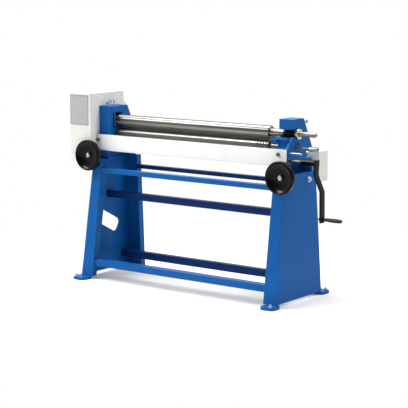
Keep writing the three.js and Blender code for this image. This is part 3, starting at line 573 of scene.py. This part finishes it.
def add_lamp(name, place, size, power):
    """A rectangular lamp aimed at the machine, with its power in watts."""
    lamp = bpy.data.lights.new(name, "AREA")
    lamp.shape = "RECTANGLE"
    lamp.size, lamp.size_y = size
    lamp.energy = power
    holder = bpy.data.objects.new(name, lamp)
    holder.location = place
    holder.rotation_euler = (LAMP_AIM - Vector(place)).to_track_quat("-Z", "Y").to_euler()
    bpy.context.scene.collection.objects.link(holder)


def add_world():
    """White for the camera. Gloss shows the same white, falling off towards the dim room in front."""
    world = bpy.data.worlds.new("studio")
    bpy.context.scene.world = world
    world.use_nodes = True
    world.node_tree.nodes.clear()
    tree = Tree(world.node_tree)
    output = tree.add("ShaderNodeOutputWorld")
    seen = tree.add("ShaderNodeBackground")
    lit = tree.add("ShaderNodeBackground")
    mirrored = tree.add("ShaderNodeBackground")
    for background in (seen, lit, mirrored):
        background.inputs["Color"].default_value = WHITE
    lit.inputs["Strength"].default_value = ROOM_LIGHT
    towards = tree.add("ShaderNodeVectorMath", operation="DOT_PRODUCT")
    tree.link(tree.add("ShaderNodeTexCoord").outputs["Generated"], towards.inputs[0])
    towards.inputs[1].default_value = DIM_SIDE
    tree.link(tree.spread(towards.outputs["Value"], *DIM_FADE), mirrored.inputs["Strength"])
    ray = tree.add("ShaderNodeLightPath")
    lighting = tree.add("ShaderNodeMixShader")
    tree.link(ray.outputs["Is Glossy Ray"], lighting.inputs[0])
    tree.link(lit.outputs[0], lighting.inputs[1])
    tree.link(mirrored.outputs[0], lighting.inputs[2])
    mixed = tree.add("ShaderNodeMixShader")
    tree.link(seen_directly(tree, ray), mixed.inputs[0])
    tree.link(lighting.outputs[0], mixed.inputs[1])
    tree.link(seen.outputs[0], mixed.inputs[2])
    tree.link(mixed.outputs[0], output.inputs["Surface"])


add_camera()
add_world()
add_floor()
add_lamp("key", (-4.6, -4.3, 6.6), (4.4, 2.2), 480)
add_lamp("side", (5.0, -2.0, 3.0), (1.6, 2.4), 14)
add_lamp("top", (-0.1, 0.3, 4.5), (5.6, 0.7), 260)
bpy.context.scene.view_settings.view_transform = "Standard"

# Carried-over nodes and their softened copies

for node, shape in nodes.items():
    for holder in shape.material_slots:
        holder.material = finishes[slot_of[node]]

SHEET_EDGE = 1.6 * MM
BLOCK_EDGE = 1.0 * MM
FINE_EDGE = 0.5 * MM
LABEL_EDGE = 0.3 * MM
PANEL_BOLT_EDGE = 0.8 * MM

for side in ("left", "right"):
    softened(side + "_leg_frame", SHEET_EDGE)
    softened(side + "_upright", SHEET_EDGE)
    softened(side + "_front_foot", SHEET_EDGE, slot="blue_paint")
    softened(side + "_rear_foot", SHEET_EDGE, slot="blue_paint")
    softened(side + "_adjuster_box", BLOCK_EDGE)
# Painted shade: the middle and rear bars keep the darker navy_paint and the two front bars take the lighter
# blue_paint, though all five bars are the same paint
for bar in ("top_rear_bar", "middle_bar", "bottom_rear_bar"):
    softened(bar, BLOCK_EDGE)
for bar in ("top_front_bar", "bottom_front_bar"):
    softened(bar, BLOCK_EDGE, slot="blue_paint")
softened("front_panel", BLOCK_EDGE)
softened("gear_cover", FINE_EDGE)
softened("gear_cover_back", FINE_EDGE)
softened("rear_guard", BLOCK_EDGE)
softened("cover_plate", LABEL_EDGE, steps=1)
softened("upper_roll_saddle", BLOCK_EDGE)
softened("crank_arm", BLOCK_EDGE)

# Rolls, with the small wire grooves at the right end of the lower one

CORNER = ((4.0, 4.0), (2.4, 1.8), (1.2, 0.7), (0.0, 0.0))
CORNER_LENGTH = CORNER[0][0]
UPPER_CORNER = 0.6
PLAIN_CORNER = 0.25
GROOVE = ((4, 0), (3.2, 2.4), (1.8, 4.5), (0, 5))
NECK_CUT = 0.6
ROLL_SIDES = 96
COLLAR_SIDES = 72
ROD_SIDES = 64


def roll_body(left, right, corner):
    """A roll's barrel with broken corners: each corner is a few points of a soft chamfer."""
    steps = [((CORNER_LENGTH - along) * corner, ROLL - drop * corner) for along, drop in CORNER]
    first = [(left + inward, radius) for inward, radius in steps]
    last = [(right - inward, radius) for inward, radius in reversed(steps)]
    return first + last


def groove(place):
    """A small round wire groove across the barrel."""
    down = [(place - aside, ROLL - depth) for aside, depth in GROOVE]
    up = [(place + aside, ROLL - depth) for aside, depth in reversed(GROOVE[:-1])]
    return down + up


def upper_roll():
    centre = spot(0, 0, UPPER_ROLL_Z)
    profile = [(-668, 14), (-667, 15), (JOURNAL_LEFT, 15), (JOURNAL_LEFT, JOURNAL), (ROLL_LEFT, JOURNAL)]
    profile += roll_body(ROLL_LEFT, ROLL_RIGHT, UPPER_CORNER)
    profile += [(ROLL_RIGHT, JOURNAL + NECK_CUT), (ROLL_RIGHT + 1, JOURNAL), (NECK_START, JOURNAL),
                (NECK_START, JOURNAL - NECK_CUT), (NECK_END, JOURNAL - NECK_CUT), (NECK_END, 13),
                (763, 13), (768, 11.4), (771.5, 8.6), (773, 4)]
    roll = spun("upper_roll_dressed", "upper_roll", "x", centre, across(profile), ROLL_SIDES)
    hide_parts("upper_roll")
    # Painted shade: a black-painted sleeve over the journal where it runs in the upright's slot stands in for
    # the slot's shadow; the journal is cut down by NECK_CUT to take it
    spun("upper_roll_neck_painted_shade", "upper_roll", "x", centre, across([
        (572.2, JOURNAL - 0.4), (572.2, JOURNAL - 0.1), (573, JOURNAL), (640.3, JOURNAL),
        (640.3, JOURNAL - 0.4),
    ]), ROLL_SIDES, closed=True, slot="black_paint")


def lower_roll():
    centre = spot(0, 0, LOWER_ROLL_Z)
    barrel = roll_body(ROLL_LEFT, ROLL_RIGHT, PLAIN_CORNER)
    profile = [(-700, 15), (JOURNAL_LEFT, 15), (JOURNAL_LEFT, JOURNAL), (ROLL_LEFT, JOURNAL)]
    profile += barrel[:len(CORNER)]
    for place in GROOVE_PLACES:
        profile += groove(place)
    profile += barrel[len(CORNER):]
    profile += [(ROLL_RIGHT, JOURNAL), (640, JOURNAL), (640, 8.5), (768, 8.5)]
    roll = spun("lower_roll_dressed", "lower_roll", "x", centre, across(profile), ROLL_SIDES)
    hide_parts("lower_roll")
    spun("lower_roll_end_cap", "lower_roll", "x", centre, across([
        (640.2, TAIL_BORE), (640.2, JOURNAL), (648.4, JOURNAL), (649, JOURNAL - NECK_CUT), (649, TAIL_BORE),
    ]), ROLL_SIDES, closed=True, slot="blue_paint")


def rear_roll():
    profile = [(-NECK_END, 15), (-REAR_ROLL_RIGHT, 15)]
    profile += roll_body(-REAR_ROLL_RIGHT, REAR_ROLL_RIGHT, PLAIN_CORNER)
    profile += [(REAR_ROLL_RIGHT, 15), (NECK_END, 15)]
    centre = spot(0, REAR_ROLL_Y, REAR_ROLL_Z)
    roll = spun("rear_roll_dressed", "rear_roll", "x", centre, across(profile), ROLL_SIDES)
    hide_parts("rear_roll")


def collar_and_sleeve():
    collar = spun("upper_roll_collar_dressed", "upper_roll_collar", "x", spot(0, 0, UPPER_ROLL_Z), across([
        (655.2, COLLAR_BORE), (655.2, 27), (656.4, 28.3), (658, 28.5), (664.5, 28.5), (666.2, 27.9),
        (667, 26.5), (667, 17.5), (666, 16.5), (666, COLLAR_BORE),
    ]), COLLAR_SIDES, closed=True)
    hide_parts("upper_roll_collar")
    sleeve = spun("lower_roll_sleeve_dressed", "lower_roll_sleeve", "x", spot(0, 0, LOWER_ROLL_Z), across([
        (728, TAIL_BORE), (728, 12), (729.4, 13), (777, 13), (779.4, 11.8), (780, 10.6), (780, TAIL_BORE),
    ]), ROD_SIDES, closed=True)
    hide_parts("lower_roll_sleeve")


upper_roll()
lower_roll()
rear_roll()
collar_and_sleeve()

# Crank: shaft and moulded grip, which is bored for its bolt

GRIP_Z = SHAFT_Z - CRANK_RADIUS
GRIP_BORE = 4.2

shaft = spun("drive_shaft_dressed", "drive_shaft", "x", spot(0, SHAFT_Y, SHAFT_Z), across([
    (-702, 9), (-684, 9), (-684, 10.5), (819, 10.5),
]), ROD_SIDES)
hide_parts("drive_shaft")
grip = spun("crank_grip_dressed", "crank_grip", "x", spot(0, SHAFT_Y, GRIP_Z), across([
    (863.5, GRIP_BORE), (863.5, 6.2), (864.3, 7.2), (866, 7.5), (870, 7.6), (878, 8.2), (888, 9.2),
    (900, 10.3), (914, 10.9), (928, 11), (942, 10.9), (955, 10.5), (963, 9.8), (969, 8.6), (973, 6.6),
    (974.6, 4), (975, 1.5), (974.6, 1.2), (967.2, 1.2), (967.2, GRIP_BORE),
]), ROD_SIDES, closed=True)
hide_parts("crank_grip")

# Dished handwheels with a thin raised rim, and their hub bolts

WHEEL_BORE = 5.15
WHEEL_DEPTH = 29
HOLE_MARGIN = 5
WHEEL_SIDES = 96
HUB_SIDES = 48


def handwheel(side):
    """A dished wheel with the small hole near its rim, and the end of its shaft with the hub bolt."""
    centre = spot((-1 if side == "left" else 1) * WHEEL_X, 0, WHEEL_Z[side])
    front = WHEEL_FRONT_Y
    rim = WHEEL_RADIUS
    wheel = spun(side + "_handwheel_dressed", side + "_handwheel", "y", centre, metres([
        (front + 16, WHEEL_BORE), (front + 16, 17.4), (front + 16.8, 18.6), (front + 18, 19),
        (front + 19.6, 19.4), (front + 20.8, 21), (front + 21, 26), (front + 20.2, 40), (front + 17, 58),
        (front + 12, 68), (front + 7.5, rim - 12.4), (front + 4.2, rim - 9), (front + 1.4, rim - 7.4),
        (front + 0.1, rim - 5.8), (front + 0.1, rim - 3.6), (front + 1.2, rim - 1.4),
        (front + 3.4, rim - 0.2), (front + 6, rim), (front + 23, rim), (front + 26, rim - 0.8),
        (front + 28, rim - 3), (front + 28, rim - 10), (front + 26, 29), (front + 28, 23),
        (front + WHEEL_DEPTH, 22), (front + WHEEL_DEPTH, WHEEL_BORE),
    ]), WHEEL_SIDES, closed=True)
    aside, above = WHEEL_HOLE_PLACE
    hole_centre = (centre[0] + aside * MM, 0, centre[2] + above * MM)
    start = (front - HOLE_MARGIN) * MM
    end = (front + WHEEL_DEPTH + HOLE_MARGIN) * MM
    drilled(wheel, "y", hole_centre, start, end, WHEEL_HOLE_RADIUS * MM)
    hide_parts(side + "_handwheel")
    shaft_end = spun(side + "_handwheel_shaft_dressed", side + "_handwheel_shaft", "y", centre, metres([
        (front + 8, 9.5), (front + 8.6, 11.6), (front + 10, 12.8), (front + 11, 13), (front + 15.7, 13),
        (front + 15.7, 5), (WHEEL_SHAFT_END_Y, 5),
    ]), HUB_SIDES)
    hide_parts(side + "_handwheel_shaft")


handwheel("left")
handwheel("right")

# Fasteners and small fittings

PIN_SIDES = 40

for side in ("left", "right"):
    softened(side + "_panel_bolt", PANEL_BOLT_EDGE, slot="dark_steel")
    softened(side + "_front_foot_bolt", FINE_EDGE)
    softened(side + "_rear_foot_bolt", FINE_EDGE)
    softened(side + "_rear_adjusting_screw", FINE_EDGE)
    softened(side + "_shaft_bush", FINE_EDGE)
for fitting in ("wing_screw", "rear_top_bolt", "leg_side_bolt", "cover_screw", "crank_grip_nut"):
    softened(fitting, FINE_EDGE)
pin = spun("lock_pin_dressed", "lock_pin", "x", spot(0, LOCK_PIN_Y, LOCK_PIN_Z), across([
    (610, 4.6), (611, 5.5), (723, 5.5), (725.4, 4.4), (726, 3),
]), PIN_SIDES)
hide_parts("lock_pin")
